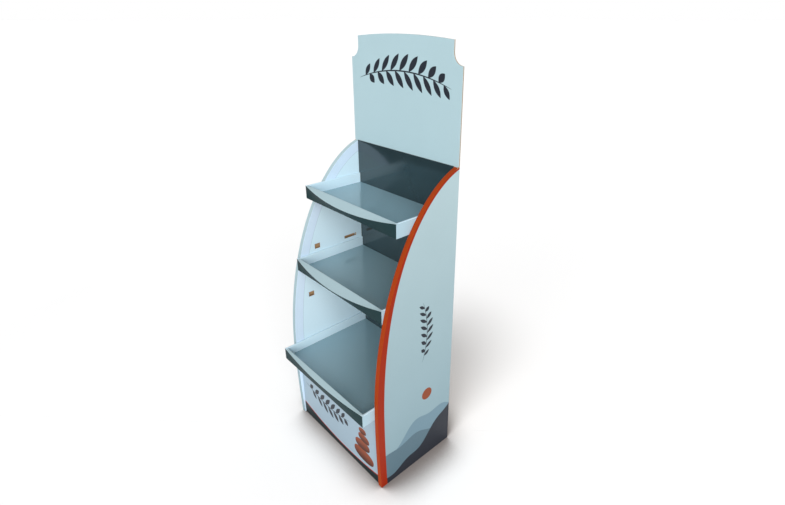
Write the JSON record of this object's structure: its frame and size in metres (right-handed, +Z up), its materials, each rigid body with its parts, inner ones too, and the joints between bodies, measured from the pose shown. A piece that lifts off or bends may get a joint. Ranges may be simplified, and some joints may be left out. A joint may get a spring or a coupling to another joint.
{
  "type": "cardboard display stand",
  "caption": "Floor display stand of folded printed board: tall back with header, bowed hollow wings, slotted-in trays with curved lips, kick panel.",
  "frame": {"origin": "middle of the bounding box in X and Y, on the floor", "axes": "+Z up, -Y to the front of the stand, +X to the right seen from the front"},
  "size_m": [0.5, 0.393, 1.4269],
  "materials": {
    "pale_print": "pale blue-white laminated print on corrugated board, gloss film",
    "dark_print": "dark slate laminated print on corrugated board, gloss film",
    "tray_print": "grey floor, white walls and dark lip printed on laminated board, gloss film"
  },
  "bodies": {
    "root": {"back_panel": "pale_print", "back_liner": "dark_print", "left_wing": "pale_print", "right_wing": "pale_print", "tray_top": "tray_print", "tray_middle": "tray_print", "tray_bottom": "tray_print", "kick_panel": "pale_print"}
  },
  "joints": []
}
